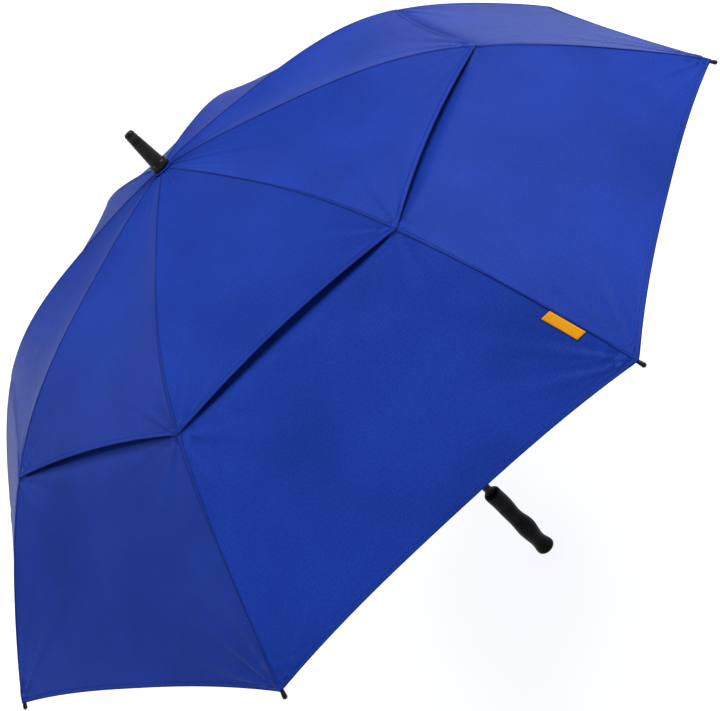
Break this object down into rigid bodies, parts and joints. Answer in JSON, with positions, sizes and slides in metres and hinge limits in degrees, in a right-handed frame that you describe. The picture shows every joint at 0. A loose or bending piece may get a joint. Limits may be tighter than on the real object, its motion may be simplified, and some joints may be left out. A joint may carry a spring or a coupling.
{
  "type": "golf umbrella",
  "caption": "Large open golf umbrella with a vented double-layer fabric canopy, fibreglass ribs on steel stretchers, a sliding runner with a catch, a tapered ferrule and a moulded grip.",
  "frame": {"origin": "bottom end of the grip, on the shaft's axis", "axes": "+Z along the shaft towards the ferrule; +X along the first rib of the open canopy"},
  "size_m": [1.301, 1.301, 0.98],
  "materials": {
    "canopy_fabric": "woven polyester, satin sheen",
    "strap_fabric": "doubled woven polyester with hook and loop",
    "rosette_fabric": "woven polyester",
    "tip_plastic": "black moulded plastic",
    "rib_fibreglass": "black pultruded fibreglass rod",
    "stretcher_steel": "black lacquered steel",
    "pin_steel": "bright steel",
    "spring_steel": "spring steel",
    "shaft_fibreglass": "black lacquered fibreglass tube",
    "ferrule_plastic": "glossy black moulded plastic",
    "crown_plastic": "black moulded plastic",
    "grip_rubber": "soft black moulded foam rubber, fine grain",
    "runner_plastic": "black moulded plastic",
    "button_plastic": "black moulded plastic"
  },
  "bodies": {
    "root": {"shaft": "shaft_fibreglass", "ferrule": "ferrule_plastic", "canopy_rosette": "rosette_fabric", "crown": "crown_plastic", "crown_pins": "pin_steel", "grip": "grip_rubber"},
    "runner": {"runner": "runner_plastic", "runner_pins": "pin_steel", "latch_spring": "spring_steel"},
    "latch_button": {"latch_button": "button_plastic"},
    "rib_1_inner": {"rib_1_inner": "rib_fibreglass", "upper_canopy_1": "canopy_fabric"},
    "rib_1_outer": {"rib_1_outer": "rib_fibreglass", "rib_1_tip_cap": "tip_plastic", "lower_canopy_1": "canopy_fabric"},
    "stretcher_1": {"stretcher_1": "stretcher_steel"},
    "rib_2_inner": {"rib_2_inner": "rib_fibreglass", "upper_canopy_2": "canopy_fabric"},
    "rib_2_outer": {"rib_2_outer": "rib_fibreglass", "rib_2_tip_cap": "tip_plastic", "lower_canopy_2": "canopy_fabric"},
    "stretcher_2": {"stretcher_2": "stretcher_steel"},
    "rib_3_inner": {"rib_3_inner": "rib_fibreglass", "upper_canopy_3": "canopy_fabric"},
    "rib_3_outer": {"rib_3_outer": "rib_fibreglass", "rib_3_tip_cap": "tip_plastic", "lower_canopy_3": "canopy_fabric", "closure_strap": "strap_fabric"},
    "stretcher_3": {"stretcher_3": "stretcher_steel"},
    "rib_4_inner": {"rib_4_inner": "rib_fibreglass", "upper_canopy_4": "canopy_fabric"},
    "rib_4_outer": {"rib_4_outer": "rib_fibreglass", "rib_4_tip_cap": "tip_plastic", "lower_canopy_4": "canopy_fabric"},
    "stretcher_4": {"stretcher_4": "stretcher_steel"},
    "rib_5_inner": {"rib_5_inner": "rib_fibreglass", "upper_canopy_5": "canopy_fabric"},
    "rib_5_outer": {"rib_5_outer": "rib_fibreglass", "rib_5_tip_cap": "tip_plastic", "lower_canopy_5": "canopy_fabric"},
    "stretcher_5": {"stretcher_5": "stretcher_steel"},
    "rib_6_inner": {"rib_6_inner": "rib_fibreglass", "upper_canopy_6": "canopy_fabric"},
    "rib_6_outer": {"rib_6_outer": "rib_fibreglass", "rib_6_tip_cap": "tip_plastic", "lower_canopy_6": "canopy_fabric"},
    "stretcher_6": {"stretcher_6": "stretcher_steel"},
    "rib_7_inner": {"rib_7_inner": "rib_fibreglass", "upper_canopy_7": "canopy_fabric"},
    "rib_7_outer": {"rib_7_outer": "rib_fibreglass", "rib_7_tip_cap": "tip_plastic", "lower_canopy_7": "canopy_fabric"},
    "stretcher_7": {"stretcher_7": "stretcher_steel"},
    "rib_8_inner": {"rib_8_inner": "rib_fibreglass", "upper_canopy_8": "canopy_fabric"},
    "rib_8_outer": {"rib_8_outer": "rib_fibreglass", "rib_8_tip_cap": "tip_plastic", "lower_canopy_8": "canopy_fabric"},
    "stretcher_8": {"stretcher_8": "stretcher_steel"}
  },
  "joints": [
    {"name": "rib_1_fold", "type": "hinge", "parent": "root", "child": "rib_1_inner", "pos_m": [0.011, 0, 0.9075], "axis": [0, 1, 0], "range_deg": [0, 70.2], "deforming": ["upper_canopy_1", "latch_spring"]},
    {"name": "rib_1_flex", "type": "hinge", "parent": "rib_1_inner", "child": "rib_1_outer", "pos_m": [0.42662, 0, 0.79532], "axis": [0, 1, 0], "range_deg": [-17.01, 0], "deforming": ["lower_canopy_1"]},
    {"name": "stretcher_1_hinge", "type": "hinge", "parent": "rib_1_inner", "child": "stretcher_1", "pos_m": [0.33565, 0, 0.83208], "axis": [0, 1, 0], "range_deg": [-140.4, 0]},
    {"name": "rib_2_fold", "type": "hinge", "parent": "root", "child": "rib_2_inner", "pos_m": [0.00778, 0.00778, 0.9075], "axis": [-0.7071, 0.7071, 0], "range_deg": [0, 70.2], "deforming": ["upper_canopy_2"]},
    {"name": "rib_2_flex", "type": "hinge", "parent": "rib_2_inner", "child": "rib_2_outer", "pos_m": [0.30167, 0.30167, 0.79532], "axis": [-0.7071, 0.7071, 0], "range_deg": [-17.01, 0], "deforming": ["lower_canopy_2"]},
    {"name": "stretcher_2_hinge", "type": "hinge", "parent": "rib_2_inner", "child": "stretcher_2", "pos_m": [0.23734, 0.23734, 0.83208], "axis": [-0.7071, 0.7071, 0], "range_deg": [-140.4, 0]},
    {"name": "rib_3_fold", "type": "hinge", "parent": "root", "child": "rib_3_inner", "pos_m": [0, 0.011, 0.9075], "axis": [-1, 0, 0], "range_deg": [0, 70.2], "deforming": ["upper_canopy_3"]},
    {"name": "rib_3_flex", "type": "hinge", "parent": "rib_3_inner", "child": "rib_3_outer", "pos_m": [0, 0.42662, 0.79532], "axis": [-1, 0, 0], "range_deg": [-17.01, 0], "deforming": ["lower_canopy_3", "closure_strap"]},
    {"name": "stretcher_3_hinge", "type": "hinge", "parent": "rib_3_inner", "child": "stretcher_3", "pos_m": [0, 0.33565, 0.83208], "axis": [-1, 0, 0], "range_deg": [-140.4, 0]},
    {"name": "rib_4_fold", "type": "hinge", "parent": "root", "child": "rib_4_inner", "pos_m": [-0.00778, 0.00778, 0.9075], "axis": [-0.7071, -0.7071, 0], "range_deg": [0, 70.2], "deforming": ["upper_canopy_4"]},
    {"name": "rib_4_flex", "type": "hinge", "parent": "rib_4_inner", "child": "rib_4_outer", "pos_m": [-0.30167, 0.30167, 0.79532], "axis": [-0.7071, -0.7071, 0], "range_deg": [-17.01, 0], "deforming": ["lower_canopy_4"]},
    {"name": "stretcher_4_hinge", "type": "hinge", "parent": "rib_4_inner", "child": "stretcher_4", "pos_m": [-0.23734, 0.23734, 0.83208], "axis": [-0.7071, -0.7071, 0], "range_deg": [-140.4, 0]},
    {"name": "rib_5_fold", "type": "hinge", "parent": "root", "child": "rib_5_inner", "pos_m": [-0.011, 0, 0.9075], "axis": [0, -1, 0], "range_deg": [0, 70.2], "deforming": ["upper_canopy_5"]},
    {"name": "rib_5_flex", "type": "hinge", "parent": "rib_5_inner", "child": "rib_5_outer", "pos_m": [-0.42662, 0, 0.79532], "axis": [0, -1, 0], "range_deg": [-17.01, 0], "deforming": ["lower_canopy_5"]},
    {"name": "stretcher_5_hinge", "type": "hinge", "parent": "rib_5_inner", "child": "stretcher_5", "pos_m": [-0.33565, 0, 0.83208], "axis": [0, -1, 0], "range_deg": [-140.4, 0]},
    {"name": "rib_6_fold", "type": "hinge", "parent": "root", "child": "rib_6_inner", "pos_m": [-0.00778, -0.00778, 0.9075], "axis": [0.7071, -0.7071, 0], "range_deg": [0, 70.2], "deforming": ["upper_canopy_6"]},
    {"name": "rib_6_flex", "type": "hinge", "parent": "rib_6_inner", "child": "rib_6_outer", "pos_m": [-0.30167, -0.30167, 0.79532], "axis": [0.7071, -0.7071, 0], "range_deg": [-17.01, 0], "deforming": ["lower_canopy_6"]},
    {"name": "stretcher_6_hinge", "type": "hinge", "parent": "rib_6_inner", "child": "stretcher_6", "pos_m": [-0.23734, -0.23734, 0.83208], "axis": [0.7071, -0.7071, 0], "range_deg": [-140.4, 0]},
    {"name": "rib_7_fold", "type": "hinge", "parent": "root", "child": "rib_7_inner", "pos_m": [0, -0.011, 0.9075], "axis": [1, 0, 0], "range_deg": [0, 70.2], "deforming": ["upper_canopy_7"]},
    {"name": "rib_7_flex", "type": "hinge", "parent": "rib_7_inner", "child": "rib_7_outer", "pos_m": [0, -0.42662, 0.79532], "axis": [1, 0, 0], "range_deg": [-17.01, 0], "deforming": ["lower_canopy_7"]},
    {"name": "stretcher_7_hinge", "type": "hinge", "parent": "rib_7_inner", "child": "stretcher_7", "pos_m": [0, -0.33565, 0.83208], "axis": [1, 0, 0], "range_deg": [-140.4, 0]},
    {"name": "rib_8_fold", "type": "hinge", "parent": "root", "child": "rib_8_inner", "pos_m": [0.00778, -0.00778, 0.9075], "axis": [0.7071, 0.7071, 0], "range_deg": [0, 70.2], "deforming": ["upper_canopy_8"]},
    {"name": "rib_8_flex", "type": "hinge", "parent": "rib_8_inner", "child": "rib_8_outer", "pos_m": [0.30167, -0.30167, 0.79532], "axis": [0.7071, 0.7071, 0], "range_deg": [-17.01, 0], "deforming": ["lower_canopy_8"]},
    {"name": "stretcher_8_hinge", "type": "hinge", "parent": "rib_8_inner", "child": "stretcher_8", "pos_m": [0.23734, -0.23734, 0.83208], "axis": [0.7071, 0.7071, 0], "range_deg": [-140.4, 0]},
    {"name": "runner_slide", "type": "hinge", "parent": "stretcher_1", "child": "runner", "pos_m": [0.011, 0, 0.75667], "axis": [0, 1, 0], "range_deg": [0, 70.2]},
    {"name": "latch_press", "type": "hinge", "parent": "runner", "child": "latch_button", "pos_m": [0.01072, 0.00444, 0.73467], "axis": [-0.3827, 0.9239, 0], "range_deg": [0, 5], "stiffness_Nm_per_rad": 0.02, "deforming": ["latch_spring"]}
  ],
  "couplings": [
    {"joint": "rib_1_flex", "follows": "rib_1_fold", "ratio": -0.24216},
    {"joint": "stretcher_1_hinge", "follows": "rib_1_fold", "ratio": -2},
    {"joint": "rib_2_fold", "follows": "rib_1_fold", "ratio": 1},
    {"joint": "rib_2_flex", "follows": "rib_1_fold", "ratio": -0.24216},
    {"joint": "stretcher_2_hinge", "follows": "rib_1_fold", "ratio": -2},
    {"joint": "rib_3_fold", "follows": "rib_1_fold", "ratio": 1},
    {"joint": "rib_3_flex", "follows": "rib_1_fold", "ratio": -0.24216},
    {"joint": "stretcher_3_hinge", "follows": "rib_1_fold", "ratio": -2},
    {"joint": "rib_4_fold", "follows": "rib_1_fold", "ratio": 1},
    {"joint": "rib_4_flex", "follows": "rib_1_fold", "ratio": -0.24216},
    {"joint": "stretcher_4_hinge", "follows": "rib_1_fold", "ratio": -2},
    {"joint": "rib_5_fold", "follows": "rib_1_fold", "ratio": 1},
    {"joint": "rib_5_flex", "follows": "rib_1_fold", "ratio": -0.24216},
    {"joint": "stretcher_5_hinge", "follows": "rib_1_fold", "ratio": -2},
    {"joint": "rib_6_fold", "follows": "rib_1_fold", "ratio": 1},
    {"joint": "rib_6_flex", "follows": "rib_1_fold", "ratio": -0.24216},
    {"joint": "stretcher_6_hinge", "follows": "rib_1_fold", "ratio": -2},
    {"joint": "rib_7_fold", "follows": "rib_1_fold", "ratio": 1},
    {"joint": "rib_7_flex", "follows": "rib_1_fold", "ratio": -0.24216},
    {"joint": "stretcher_7_hinge", "follows": "rib_1_fold", "ratio": -2},
    {"joint": "rib_8_fold", "follows": "rib_1_fold", "ratio": 1},
    {"joint": "rib_8_flex", "follows": "rib_1_fold", "ratio": -0.24216},
    {"joint": "stretcher_8_hinge", "follows": "rib_1_fold", "ratio": -2},
    {"joint": "runner_slide", "follows": "rib_1_fold", "ratio": 1}
  ]
}
